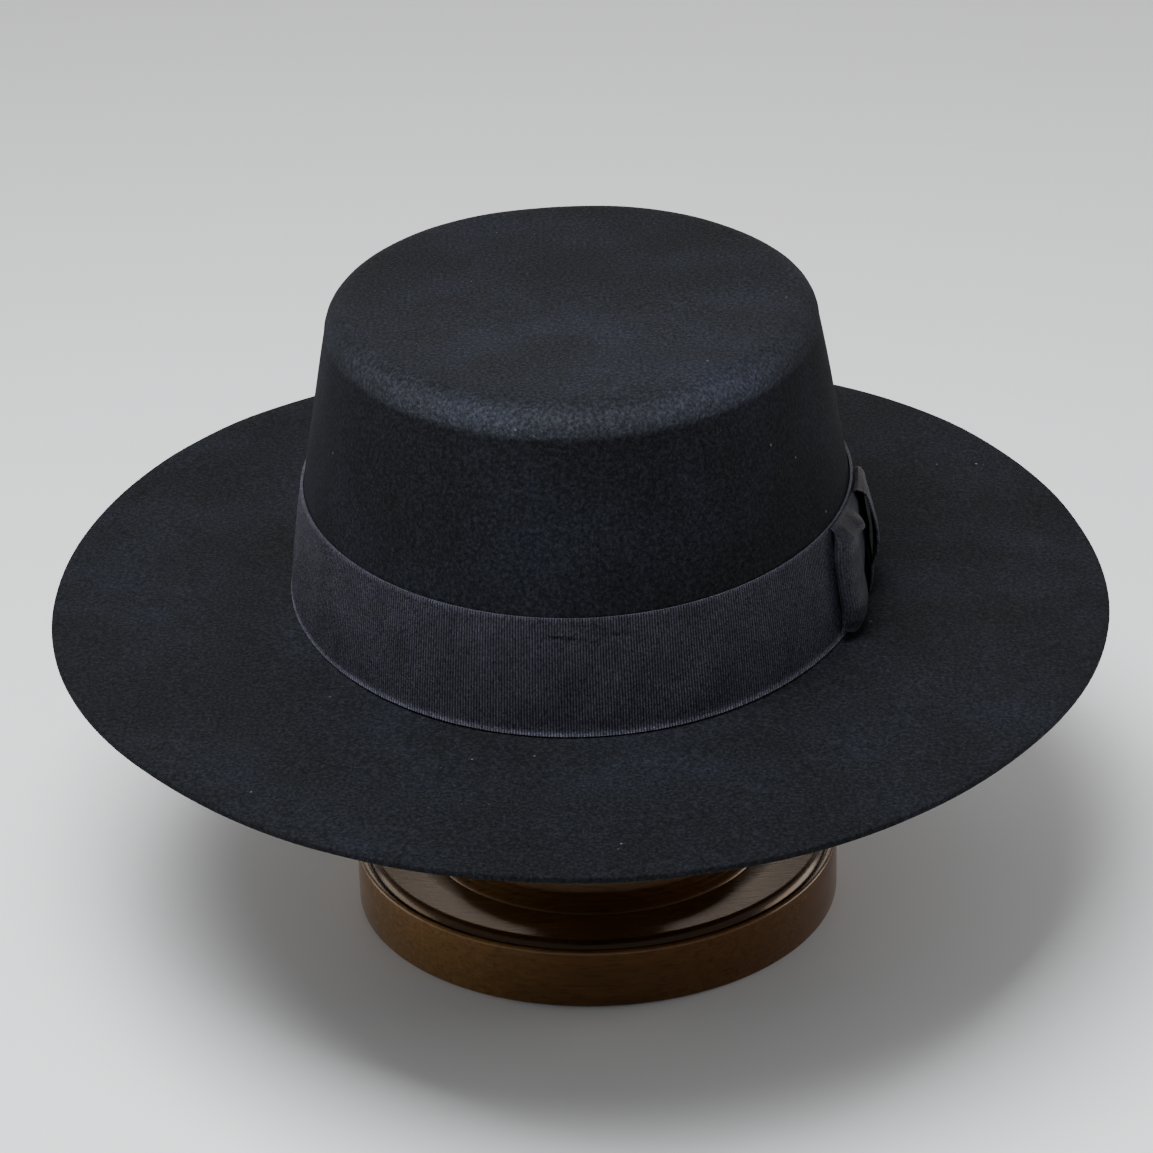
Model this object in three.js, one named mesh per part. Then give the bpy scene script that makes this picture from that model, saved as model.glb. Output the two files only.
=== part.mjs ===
// A cordobes hat of black felt with a ribbed ribbon band and a flat side bow,
// standing on a turned wooden hat stand. Millimetres, +Z up, the brow towards -Y,
// the wearer's left and the bow towards +X, the origin under the hat's middle on the surface.
import * as THREE from 'three';

// Felt body
const HEAD_WIDTH = 168; // inside the crown at the brim, ear to ear
const HEAD_LENGTH = 202; // inside the crown at the brim, brow to nape
const BROW_NARROWING = 0.055; // share by which the oval narrows at the brow and widens at the nape
const FELT = 2;
const CROWN_HEIGHT = 91.2; // upper face of the brim to the flat top
const TOP_WIDTH = 145.2; // outside, where the wall meets the rounded top edge
const TOP_LENGTH = 174.4; // outside, where the wall meets the rounded top edge
const WALL_BULGE = 1.2; // 1 is a straight wall, more leans in only near the top
const TOP_EDGE_RADIUS = 9;
const BREAK_RADIUS = 1.5; // hollow curve between wall and brim
const BRIM_WIDTH = 74;
const BRIM_CURL = 1.5; // how late the brim leaves the level towards its edge
const EDGE_ROUNDING = 0.5; // the cut edges of felt and ribbon

// Height of the brim's edge round the hat, as shares of the brim's width: a sum of waves,
// each with its part along the ear line (cosine) and along the brow line (sine).
const BRIM_SWAY = [
  { waves: 0, cosine: -0.036, sine: 0 },
  { waves: 1, cosine: -0.018, sine: 0.024 },
  { waves: 2, cosine: -0.02, sine: 0 },
  { waves: 4, cosine: -0.019, sine: 0 },
];
const BROW_LIFT = 2.5; // how far the edge turns up again at the middle of the brow
const BROW_LIFT_PLACE = -94; // degrees, -90 is the middle of the brow
const BROW_LIFT_SPREAD = 45; // degrees to each side over which it fades out

// Ribbon band and bow
const RIBBON = 1; // thickness of the ribbed ribbon
const BAND_HEIGHT = 33.5;
const BAND_LIFT = 0.8; // band's lower edge above the brim
const GAP = 0.3; // between any two pieces that touch
const BOW_PLACE = -10; // knot's middle along the ear side, towards the brow
const BOW_REACH = 39; // knot's middle to the front fold
const TAIL_REACH = 30; // knot's middle to the free back end
const BOW_DEPTH = 10; // how far the front fold stands off the band
const KNOT_WIDTH = 18;
const KNOT_RISE = 1; // knot's top above the band's
const KNOT_BULGE = 1.8; // how far the knot's outer face swells at half height
const KNOT_CORNER = 2; // outer radius of the knot where it turns over the bow

// Front loop, from its inner end in the knot round the fold to its outer end in the knot.
// reach: share of BOW_REACH; foot, belly and head: standoff at the lower edge, at three quarters
// of the height and at the upper edge, as shares of BOW_DEPTH; low and high: shares of
// BAND_HEIGHT. Rows with a layer lie flat in the knot's own stack.
const LOOP_ROWS = [
  { reach: 0.03, layer: 'inner', low: 0.1, high: 0.94 },
  { reach: 0.2, layer: 'inner', low: 0.1, high: 0.94 },
  { reach: 0.32, layer: 'inner', low: 0.09, high: 0.95 },
  { reach: 0.58, foot: 0.1, belly: 0.1, head: 0.1, low: 0.03, high: 1.0 },
  { reach: 0.86, foot: 0.1, belly: 0.1, head: 0.1, low: 0.0, high: 1.01 },
  { reach: 0.97, foot: 0.12, belly: 0.16, head: 0.12, low: 0.02, high: 1.01 },
  { reach: 1.0, foot: 0.2, belly: 0.36, head: 0.19, low: 0.05, high: 1.0 },
  { reach: 0.96, foot: 0.29, belly: 0.6, head: 0.24, low: 0.06, high: 0.99 },
  { reach: 0.86, foot: 0.35, belly: 0.7, head: 0.25, low: 0.05, high: 0.98 },
  { reach: 0.68, foot: 0.36, belly: 0.58, head: 0.26, low: 0.06, high: 0.97 },
  { reach: 0.5, foot: 0.35, belly: 0.44, head: 0.28, low: 0.09, high: 0.95 },
  { reach: 0.36, foot: 0.35, belly: 0.36, head: 0.34, low: 0.1, high: 0.93 },
  { reach: 0.25, layer: 'outer', low: 0.1, high: 0.92 },
  { reach: 0.0, layer: 'outer', low: 0.1, high: 0.93 },
];

// Back tail, from inside the knot to its free end cut on the slant; reach is a share of TAIL_REACH.
const TAIL_ROWS = [
  { reach: 0.04, layer: 'inner', low: 0.1, high: 0.93 },
  { reach: 0.22, layer: 'inner', low: 0.1, high: 0.93 },
  { reach: 0.36, layer: 'inner', low: 0.1, high: 0.9 },
  { reach: 0.56, foot: 0.2, belly: 0.3, head: 0.3, low: 0.05, high: 0.78 },
  { reach: 0.78, foot: 0.18, belly: 0.32, head: 0.34, low: 0.02, high: 0.56 },
  { reach: 1.0, foot: 0.15, belly: 0.25, head: 0.28, low: 0.0, high: 0.3 },
];

// Stand
const STAND_HEIGHT = 194.6; // surface to the top of the rest that carries the crown
const STAND_SHIFT = 3; // the stand's axis from the hat's middle, towards the bow
const BASE_RADIUS = 75;
const BASE_HEIGHT = 19.5; // surface to the top of the base's rim
const RIM_WIDTH = 3;
const GROOVE_DEPTH = 2.2; // just inside the rim
const SHOULDER_RISE = 3; // collar's foot above the rim
const COLLAR_RADIUS = 54.5;
const COLLAR_HEIGHT = 5.5;
const COLLAR_SLOPE = 8; // collar's foot to the edge of its top, inwards
const NECK_HEIGHT = 22.5; // collar's top to the foot of the post
const POST_RADIUS = 14;
const TENON_RADIUS = 8;
const TENON_LENGTH = 14;
const REST_THICKNESS = 24;
const REST_CLEARANCE = 9; // round the rest, inside the crown's flat top
const REST_EDGE_RADIUS = 7;

// Facets
const HAT_SIDES = 72;
const STAND_SIDES = 44;
const ARC_STEPS = 4;
const BELLY = 0.75; // where a bow table's belly stands, as a share of the ribbon's height
const STRIP_STEPS = 2; // cross-sections from one row of a bow table to the next

const BLACK_FELT = { color: 0x14161a, roughness: 0.95, metalness: 0 };
const BLACK_RIBBON = { color: 0x17181c, roughness: 0.75, metalness: 0 };
const BROWN_WOOD = { color: 0x40270f, roughness: 0.3, metalness: 0 };

const hatLevel = STAND_HEIGHT + GAP + FELT - CROWN_HEIGHT; // upper face of the brim at the crown
const mix = THREE.MathUtils.lerp;
const turns = Array.from({ length: HAT_SIDES }, (_, i) => (i / HAT_SIDES) * 2 * Math.PI);

// Skins

// A closed skin over rings of equally many points. The first and last ring are capped by a fan,
// or joined to each other where the skin runs round in a loop.
function skin(rings, joined = false) {
  const sides = rings[0].length;
  const points = rings.flat();
  const faces = [];
  const count = rings.length;
  for (let i = 0; i < (joined ? count : count - 1); i++) {
    const here = i * sides;
    const next = ((i + 1) % count) * sides;
    for (let j = 0; j < sides; j++) {
      const k = (j + 1) % sides;
      faces.push([here + j, here + k, next + k], [here + j, next + k, next + j]);
    }
  }
  if (!joined) {
    for (const [ring, start, flip] of [[rings[0], 0, true], [rings.at(-1), (count - 1) * sides, false]]) {
      const middle = ring.reduce((sum, p) => sum.add(p), new THREE.Vector3()).divideScalar(sides);
      points.push(middle);
      for (let j = 0; j < sides; j++) {
        const k = (j + 1) % sides;
        const [a, b] = flip ? [start + k, start + j] : [start + j, start + k];
        faces.push([a, b, points.length - 1]);
      }
    }
  }
  const volume = faces.reduce((sum, [a, b, c]) => {
    return sum + points[a].dot(new THREE.Vector3().crossVectors(points[b], points[c]));
  }, 0);
  const outward = volume > 0 ? faces : faces.map(([a, b, c]) => [a, c, b]);
  const geometry = new THREE.BufferGeometry().setFromPoints(points);
  geometry.setIndex(outward.flat());
  geometry.computeVertexNormals();
  return geometry;
}

function piece(name, geometry, finish) {
  const mesh = new THREE.Mesh(geometry, new THREE.MeshStandardMaterial(finish));
  mesh.name = name;
  return mesh;
}

// Points of a quarter arc from one angle to another, as [across, up] pairs.
function arc(across, up, radius, from, to, steps = ARC_STEPS) {
  return Array.from({ length: steps + 1 }, (_, i) => {
    const angle = THREE.MathUtils.degToRad(mix(from, to, i / steps));
    return [across + radius * Math.cos(angle), up + radius * Math.sin(angle)];
  });
}

// Hat oval

// A point of the egg-shaped hat oval. turn 0 is the wearer's left ear, a quarter turn the nape.
function ovalPoint(halfWidth, halfLength, turn, height) {
  const x = halfWidth * Math.cos(turn) * (1 + BROW_NARROWING * Math.sin(turn));
  return new THREE.Vector3(x, halfLength * Math.sin(turn), height);
}

// The crown wall's outside oval at a height above the brim, grown outwards by an offset.
function wallOval(height, offset = 0) {
  const share = Math.max(0, height / (CROWN_HEIGHT - TOP_EDGE_RADIUS)) ** WALL_BULGE;
  return {
    halfWidth: mix(HEAD_WIDTH / 2 + FELT, TOP_WIDTH / 2, share) + offset,
    halfLength: mix(HEAD_LENGTH / 2 + FELT, TOP_LENGTH / 2, share) + offset,
  };
}

// How far the felt's outside swells from the wall into the brim at a height above it.
function breakSwell(height) {
  const below = Math.max(0, BREAK_RADIUS - height);
  return BREAK_RADIUS - Math.sqrt(BREAK_RADIUS ** 2 - below ** 2);
}

function wallPoint(turn, height, offset = 0) {
  const { halfWidth, halfLength } = wallOval(height, offset);
  return ovalPoint(halfWidth, halfLength, turn, hatLevel + height);
}

// The brim's rise or fall at a turn, for a share of its width from the crown to the edge.
function sway(turn, share) {
  const edge = BRIM_SWAY.reduce((sum, { waves, cosine, sine }) => {
    return sum + cosine * Math.cos(waves * turn) + sine * Math.sin(waves * turn);
  }, 0);
  const place = THREE.MathUtils.degToRad(BROW_LIFT_PLACE);
  const spread = THREE.MathUtils.degToRad(BROW_LIFT_SPREAD);
  const away = Math.min(1, Math.acos(Math.cos(turn - place)) / spread);
  const lift = BROW_LIFT * Math.cos((away * Math.PI) / 2) ** 2;
  return (edge * BRIM_WIDTH + lift) * Math.max(0, share) ** BRIM_CURL;
}

// Felt body: the outside from the middle of the top to the brim's edge, then the inside back.
function feltBody() {
  const ring = (height, offset) => turns.map((turn) => wallPoint(turn, height, offset));
  const brimRing = (offset, below) => turns.map((turn) => {
    const { halfWidth, halfLength } = wallOval(0, offset);
    const share = (offset - BREAK_RADIUS) / (BRIM_WIDTH - BREAK_RADIUS);
    return ovalPoint(halfWidth, halfLength, turn, hatLevel + sway(turn, share) - below);
  });
  const topRing = (share, height, inset) => turns.map((turn) => {
    const halfWidth = (TOP_WIDTH / 2 - inset) * share;
    const halfLength = (TOP_LENGTH / 2 - inset) * share;
    return ovalPoint(halfWidth, halfLength, turn, hatLevel + height);
  });
  const wallHeights = [0.85, 0.7, 0.5, 0.3, 0.12].map((share) => share * (CROWN_HEIGHT - TOP_EDGE_RADIUS));
  const innerEdge = Math.max(TOP_EDGE_RADIUS - FELT, EDGE_ROUNDING);
  const edgeSpan = CROWN_HEIGHT - TOP_EDGE_RADIUS;
  const outside = [
    topRing(0.5, CROWN_HEIGHT, TOP_EDGE_RADIUS),
    ...arc(-TOP_EDGE_RADIUS, 0, TOP_EDGE_RADIUS, 90, 0).map(([inset, up]) => topRing(1, edgeSpan + up, -inset)),
    ...wallHeights.map((height) => ring(height, 0)),
    ...arc(BREAK_RADIUS, BREAK_RADIUS, BREAK_RADIUS, 180, 270, 3).map(([offset, up]) => {
      return up > 0.01 ? ring(up, offset) : brimRing(offset, 0);
    }),
    ...[0.3, 0.6, 0.85].map((share) => brimRing(mix(BREAK_RADIUS, BRIM_WIDTH, share), 0)),
    brimRing(BRIM_WIDTH - EDGE_ROUNDING, 0),
    brimRing(BRIM_WIDTH, EDGE_ROUNDING),
  ];
  const inside = [
    brimRing(BRIM_WIDTH, FELT - EDGE_ROUNDING),
    brimRing(BRIM_WIDTH - EDGE_ROUNDING, FELT),
    ...[0.85, 0.6, 0.3].map((share) => brimRing(mix(BREAK_RADIUS, BRIM_WIDTH, share), FELT)),
    ...arc(BREAK_RADIUS, BREAK_RADIUS, BREAK_RADIUS + FELT, 270, 180, 3).map(([offset, up]) => {
      return up > 0 ? ring(up, offset) : brimRing(offset, -up);
    }),
    ...wallHeights.toReversed().map((height) => ring(height, -FELT)),
    ...arc(-FELT - innerEdge, 0, innerEdge, 0, 90).map(([inset, up]) => topRing(1, edgeSpan + up, -inset)),
    topRing(0.5, CROWN_HEIGHT - FELT, TOP_EDGE_RADIUS),
  ];
  return skin([...outside, ...inside]);
}

// Ribbon band: a flat ring that follows the wall at a gap.
function ribbonBand() {
  const heights = [0, 0.06, 0.35, 0.7, 1].map((share) => BAND_LIFT + share * BAND_HEIGHT);
  const face = (height, outwards) => turns.map((turn) => {
    return wallPoint(turn, height, breakSwell(height) + GAP + outwards);
  });
  const outer = heights.map((height) => face(height, RIBBON));
  const inner = heights.toReversed().map((height) => face(height, 0));
  return skin([...outer, ...inner], true);
}

// Bow

// A point beside the band: along the ear side (brow negative), off the band's face, above the brim.
function besideBand(along, standoff, height) {
  const { halfWidth, halfLength } = wallOval(height, breakSwell(height) + GAP + RIBBON);
  const turn = Math.asin(THREE.MathUtils.clamp(along / halfLength, -1, 1));
  const base = ovalPoint(halfWidth, halfLength, turn, hatLevel + height);
  const outward = new THREE.Vector3(Math.cos(turn) / halfWidth, Math.sin(turn) / halfLength, 0).normalize();
  return base.addScaledVector(outward, standoff);
}

// Middle of each layer of ribbon in the knot, counted out from the band: the knot's own back,
// the loop's two ends with the tail butted to the inner one, and the knot's own front.
const layers = Object.fromEntries(['back', 'inner', 'outer', 'front'].map((name, i) => {
  return [name, GAP + RIBBON / 2 + i * (RIBBON + GAP)];
}));

// A strip of ribbon on edge, swept through the rows of a bow table.
function standingStrip(rows, reach) {
  const standoff = (row, share) => {
    if (row.layer) return layers[row.layer];
    if (share > BELLY) return BOW_DEPTH * mix(row.belly, row.head, (share - BELLY) / (1 - BELLY));
    return BOW_DEPTH * mix(row.foot, row.belly, Math.sin((share / BELLY) * Math.PI / 2));
  };
  const levels = [0, 0.3, BELLY, 1].map((share) => new THREE.CatmullRomCurve3(rows.map((row) => {
    const height = BAND_LIFT + mix(row.low, row.high, share) * BAND_HEIGHT;
    return new THREE.Vector3(BOW_PLACE + row.reach * reach, standoff(row, share), height);
  }), false, 'centripetal'));
  const steps = (rows.length - 1) * STRIP_STEPS;
  const section = (t) => {
    const face = (side) => levels.map((curve) => {
      const run = curve.getTangent(t);
      return curve.getPoint(t).add(new THREE.Vector3(-run.y, run.x, 0).setLength(side * RIBBON / 2));
    });
    return [...face(1), ...face(-1).reverse()].map((p) => besideBand(p.x, p.y, p.z));
  };
  return skin(Array.from({ length: steps + 1 }, (_, step) => section(step / steps)));
}

// The knot: a ribbon wrapped upright round the layers, closed behind them, its front swelling out.
function knot() {
  const [near, far] = [layers.back - RIBBON / 2, layers.front + RIBBON / 2];
  const foot = BAND_LIFT + GAP;
  const head = BAND_LIFT + BAND_HEIGHT + KNOT_RISE;
  const swell = (height) => KNOT_BULGE * Math.sin(Math.PI * (height - foot) / (head - foot));
  const round = (inset) => {
    const radius = Math.max(KNOT_CORNER - inset, EDGE_ROUNDING);
    const [left, right] = [near + inset, far - inset];
    const [bottom, top] = [foot + inset + radius, head - inset - radius];
    return [
      ...arc(right - radius, bottom, radius, -90, 0),
      ...[0.25, 0.5, 0.75].map((share) => [right, mix(bottom, top, share)]),
      ...arc(right - radius, top, radius, 0, 90),
      ...arc(left + radius, top, radius, 90, 180),
      ...[0.75, 0.5, 0.25].map((share) => [left, mix(bottom, top, share)]),
      ...arc(left + radius, bottom, radius, 180, 270),
    ].map(([off, height]) => [off > (near + far) / 2 ? off + swell(height) : off, height]);
  };
  const [outer, inner] = [round(0), round(RIBBON)];
  const sides = [-0.5, 0, 0.5].map((share) => BOW_PLACE + share * KNOT_WIDTH);
  const section = (i) => [
    ...sides.map((along) => besideBand(along, ...outer[i])),
    ...sides.toReversed().map((along) => besideBand(along, ...inner[i])),
  ];
  return skin(outer.map((_, i) => section(i)), true);
}

// Stand

// A turned solid from a profile of [radius, height] pairs that starts and ends on the axis.
function turned(profile) {
  const points = profile.map(([radius, height]) => new THREE.Vector2(radius, height));
  return new THREE.LatheGeometry(points, STAND_SIDES).rotateX(Math.PI / 2).translate(STAND_SHIFT, 0, 0);
}

const postFoot = BASE_HEIGHT + SHOULDER_RISE + COLLAR_HEIGHT + NECK_HEIGHT;
const restFoot = STAND_HEIGHT - REST_THICKNESS;

// Base: an upright rim, a groove inside it, a level shoulder, a low sloping collar, and a neck
// with a socket for the post.
function standBase() {
  const grooveFloor = BASE_HEIGHT - GROOVE_DEPTH;
  const collarFoot = BASE_HEIGHT + SHOULDER_RISE;
  const collarTop = collarFoot + COLLAR_HEIGHT;
  const inwards = (share) => mix(BASE_RADIUS - RIM_WIDTH, COLLAR_RADIUS, share);
  const rise = (share) => mix(grooveFloor, collarFoot, share);
  const collarUp = (share) => mix(collarFoot, collarTop, share);
  const neck = (share) => mix(COLLAR_RADIUS - COLLAR_SLOPE, POST_RADIUS, share);
  return turned([
    [0, 0],
    [BASE_RADIUS - 1, 0],
    [BASE_RADIUS, 1],
    ...arc(BASE_RADIUS - 1.5, BASE_HEIGHT - 1.5, 1.5, 0, 90, 2),
    [inwards(0), BASE_HEIGHT - 0.3],
    [inwards(0.05), grooveFloor + 0.4],
    [inwards(0.14), grooveFloor],
    [inwards(0.26), rise(0.5)],
    [inwards(0.38), rise(0.88)],
    [inwards(0.55), rise(1)],
    [inwards(1), rise(1)],
    [COLLAR_RADIUS - COLLAR_SLOPE * 0.3, collarUp(0.45)],
    [COLLAR_RADIUS - COLLAR_SLOPE * 0.75, collarUp(0.85)],
    [neck(0), collarTop],
    [neck(0.35), collarTop + NECK_HEIGHT * 0.08],
    [neck(0.65), collarTop + NECK_HEIGHT * 0.35],
    [neck(0.85), collarTop + NECK_HEIGHT * 0.62],
    [POST_RADIUS, postFoot],
    [TENON_RADIUS + GAP, postFoot],
    [TENON_RADIUS + GAP, postFoot - TENON_LENGTH - GAP],
    [0, postFoot - TENON_LENGTH - GAP],
  ]);
}

// Post: a plain round with a tenon at each end.
function standPost() {
  const [foot, head] = [postFoot + GAP, restFoot - GAP];
  return turned([
    [0, foot - TENON_LENGTH],
    [TENON_RADIUS, foot - TENON_LENGTH],
    [TENON_RADIUS, foot],
    [POST_RADIUS, foot],
    [POST_RADIUS, head],
    [TENON_RADIUS, head],
    [TENON_RADIUS, head + TENON_LENGTH],
    [0, head + TENON_LENGTH],
  ]);
}

// Rest: the round pad under the crown's flat top, with a socket for the post.
function standRest() {
  const radius = TOP_WIDTH / 2 - TOP_EDGE_RADIUS - REST_CLEARANCE;
  const socket = restFoot + TENON_LENGTH + GAP;
  return turned([
    [0, socket],
    [TENON_RADIUS + GAP, socket],
    [TENON_RADIUS + GAP, restFoot],
    [POST_RADIUS + 3, restFoot],
    [radius * 0.7, restFoot + REST_THICKNESS * 0.15],
    [radius * 0.93, restFoot + REST_THICKNESS * 0.36],
    [radius, restFoot + REST_THICKNESS * 0.55],
    ...arc(radius - REST_EDGE_RADIUS, STAND_HEIGHT - REST_EDGE_RADIUS, REST_EDGE_RADIUS, 0, 90),
    [0, STAND_HEIGHT],
  ]);
}

const object = new THREE.Group();
object.add(
  piece('felt_body', feltBody(), BLACK_FELT),
  piece('ribbon_band', ribbonBand(), BLACK_RIBBON),
  piece('bow_front_loop', standingStrip(LOOP_ROWS, -BOW_REACH), BLACK_RIBBON),
  piece('bow_back_tail', standingStrip(TAIL_ROWS, TAIL_REACH), BLACK_RIBBON),
  piece('bow_knot', knot(), BLACK_RIBBON),
  piece('stand_base', standBase(), BROWN_WOOD),
  piece('stand_post', standPost(), BROWN_WOOD),
  piece('stand_rest', standRest(), BROWN_WOOD),
);
export default object;
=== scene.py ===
# %% [markdown]
# # A cordobes hat on a turned wooden stand
# The real hat is one cone of black fur felt, steamed over a block with a flat top and ironed
# flat at the brim. A ribbed ribbon runs round the crown and ends in a small flat bow at the
# wearer's left. This lesson builds the hat around a measured frame: the frame gives the sizes,
# and each piece made here takes the place of one plain solid. Modelled freely by eye, the hat
# would fit neither its stand nor a head.

# %% Load the frame
import math

import bpy
from mathutils import Matrix, Vector


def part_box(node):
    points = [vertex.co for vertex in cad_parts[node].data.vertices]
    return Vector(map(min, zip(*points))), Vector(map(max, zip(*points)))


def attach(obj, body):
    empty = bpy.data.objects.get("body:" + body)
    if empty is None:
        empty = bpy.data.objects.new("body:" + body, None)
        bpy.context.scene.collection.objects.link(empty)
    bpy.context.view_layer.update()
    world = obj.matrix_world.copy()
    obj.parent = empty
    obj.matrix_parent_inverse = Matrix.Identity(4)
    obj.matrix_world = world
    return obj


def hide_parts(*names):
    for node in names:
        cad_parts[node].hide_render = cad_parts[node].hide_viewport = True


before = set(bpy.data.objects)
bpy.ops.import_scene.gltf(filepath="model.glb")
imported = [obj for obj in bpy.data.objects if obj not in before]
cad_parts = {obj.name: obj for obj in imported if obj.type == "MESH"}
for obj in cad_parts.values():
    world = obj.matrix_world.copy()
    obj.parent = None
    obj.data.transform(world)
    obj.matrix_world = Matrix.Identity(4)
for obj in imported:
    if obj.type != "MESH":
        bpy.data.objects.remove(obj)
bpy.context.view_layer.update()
MM = 0.001
felt_low, felt_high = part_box("felt_body")
band_low, band_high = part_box("ribbon_band")
base_low, base_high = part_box("stand_base")
post_low, post_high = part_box("stand_post")
rest_low, rest_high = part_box("stand_rest")

# %% [markdown]
# ## Small helpers, as used by hand
# Blender's operators work on what is selected. So each step here first clears the selection,
# and then picks points by their place. A mouse could do that too, but a rule finds the same
# points on every run.


# %% Selecting and applying
def deselect():
    """Leaves edit mode and selects nothing."""
    if bpy.context.object and bpy.context.object.mode != "OBJECT":
        bpy.ops.object.mode_set(mode="OBJECT")
    bpy.ops.object.select_all(action="DESELECT")


def pick(piece):
    """Makes one piece the selected and active one."""
    deselect()
    piece.select_set(True)
    bpy.context.view_layer.objects.active = piece
    return piece


def open_all(piece):
    """Opens one piece in edit mode with everything in it selected."""
    pick(piece)
    bpy.ops.object.mode_set(mode="EDIT")
    bpy.ops.mesh.select_all(action="SELECT")


def name_new(name):
    """Names the object that was just added, and its mesh."""
    piece = bpy.context.object
    piece.name = name
    piece.data.name = name
    return piece


def apply_modifier(piece, kind, **settings):
    """Adds a modifier, gives it its settings and applies it at once."""
    pick(piece)
    modifier = piece.modifiers.new(kind.title(), kind)
    for key, value in settings.items():
        setattr(modifier, key, value)
    bpy.ops.object.modifier_apply(modifier=modifier.name)


def choose(piece, wanted):
    """Selects the points of a piece for which wanted(point) is true, and nothing else."""
    pick(piece)
    bpy.ops.object.mode_set(mode="EDIT")
    bpy.ops.mesh.select_mode(type="VERT")
    bpy.ops.mesh.select_all(action="DESELECT")
    bpy.ops.object.mode_set(mode="OBJECT")
    for point in piece.data.vertices:
        point.select = bool(wanted(point))
    bpy.ops.object.mode_set(mode="EDIT")


# %% [markdown]
# ## Pushing points by weight
# A felt brim isn't quite flat and a bow isn't a box. By hand one paints a vertex group and
# lets the Displace modifier move each point by its weight. Here a small rule gives the weight,
# once for the points that rise and once for those that sink.


# %% Push by vertex group
def push(piece, direction, amount):
    """Moves points along X, Y, Z or NORMAL by amount(point) in metres."""
    moves = [amount(point) for point in piece.data.vertices]
    for sign in (1, -1):
        most = max(0, max(sign * move for move in moves))
        if most <= 0:
            continue
        group = piece.vertex_groups.new(name="push")
        for index, move in enumerate(moves):
            if sign * move > 0:
                group.add([index], sign * move / most, "REPLACE")
        apply_modifier(piece, "DISPLACE", direction=direction, strength=sign * most,
                       mid_level=0, vertex_group=group.name)
        pick(piece)
        piece.vertex_groups.remove(piece.vertex_groups["push"])


def smoothstep(value):
    """0 below 0, 1 above 1 and a soft step between."""
    value = min(1, max(0, value))
    return value * value * (3 - 2 * value)


# %% [markdown]
# ## The hat's oval
# A head is longer than it is wide, and narrower at the brow than at the nape. So every ring
# of the hat starts as one circle that is tapered a little along its length and then scaled.
# Extruding and scaling that ring again and again keeps the egg shape all the way. A lathe would
# be quicker, but it can only make round hats.

# %% Sizes of the blocked felt
CROWN_TOP = felt_high[2]
CROWN_HEIGHT = 91.2 * MM
HAT_LEVEL = CROWN_TOP - CROWN_HEIGHT
FELT = 2 * MM
HEAD_HALF_WIDTH = 86 * MM
HEAD_HALF_LENGTH = 103 * MM
TOP_HALF_WIDTH = 72.6 * MM
TOP_HALF_LENGTH = 87.2 * MM
TOP_EDGE = 9 * MM
WALL_HEIGHT = CROWN_TOP - HAT_LEVEL - TOP_EDGE
WALL_BULGE = 1.2
BROW_NARROWING = 0.055
BREAK = 1.5 * MM
BRIM = (felt_high[1] - felt_low[1]) / 2 - HEAD_HALF_LENGTH
print("brim is", round(BRIM / MM, 1), "mm wide, its crown line at", round(HAT_LEVEL / MM, 1), "mm")


def wall_oval(height, offset=0.0):
    """Half width and half length of the crown's outside, at a height above the brim."""
    share = max(0, height / WALL_HEIGHT) ** WALL_BULGE
    half_width = HEAD_HALF_WIDTH + (TOP_HALF_WIDTH - HEAD_HALF_WIDTH) * share
    half_length = HEAD_HALF_LENGTH + (TOP_HALF_LENGTH - HEAD_HALF_LENGTH) * share
    return half_width + offset, half_length + offset


# %% Start a ring and pull it on
def start_ring(name, points, oval, height):
    """An egg-shaped ring of edges, left selected in edit mode."""
    deselect()
    bpy.ops.mesh.primitive_circle_add(vertices=points, radius=1, fill_type="NOTHING")
    ring = name_new(name)
    apply_modifier(ring, "SIMPLE_DEFORM", deform_method="TAPER", deform_axis="Y",
                   factor=2 * BROW_NARROWING, lock_z=True)
    open_all(ring)
    bpy.ops.transform.resize(value=(oval[0], oval[1], 1), center_override=(0, 0, 0))
    bpy.ops.transform.translate(value=(0, 0, height))
    return ring


def pull_rings(first, rings):
    """Extrudes the selected ring through each (oval, height) in turn."""
    (width, length), level = first
    for (next_width, next_length), height in rings:
        bpy.ops.mesh.extrude_region()
        bpy.ops.transform.resize(value=(next_width / width, next_length / length, 1),
                                 center_override=(0, 0, level))
        bpy.ops.transform.translate(value=(0, 0, height - level))
        width, length, level = next_width, next_length, height


# %% [markdown]
# ## The felt body
# Crown and brim are one piece of felt, so they are one mesh: it starts as the edge of the
# brim, runs in to the crown, up the wall, over the rounded edge and closes in the middle of
# the flat top. Solidify then gives it the thickness of felt.

# %% Pull the felt from the brim's edge to the top
FELT_POINTS = 176
BRIM_STEPS = 14
WALL_STEPS = 14
ARC_STEPS = 8
BREAK_STEPS = 3
TOP_SHARES = (0.93, 0.85, 0.75, 0.64, 0.52, 0.4, 0.28, 0.16, 0.06)


def arc(radius, start, end, steps):
    """Points of an arc as (across, up), angles in degrees."""
    turns = [math.radians(start + (end - start) * i / steps) for i in range(steps + 1)]
    return [(radius * math.cos(turn), radius * math.sin(turn)) for turn in turns]


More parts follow.
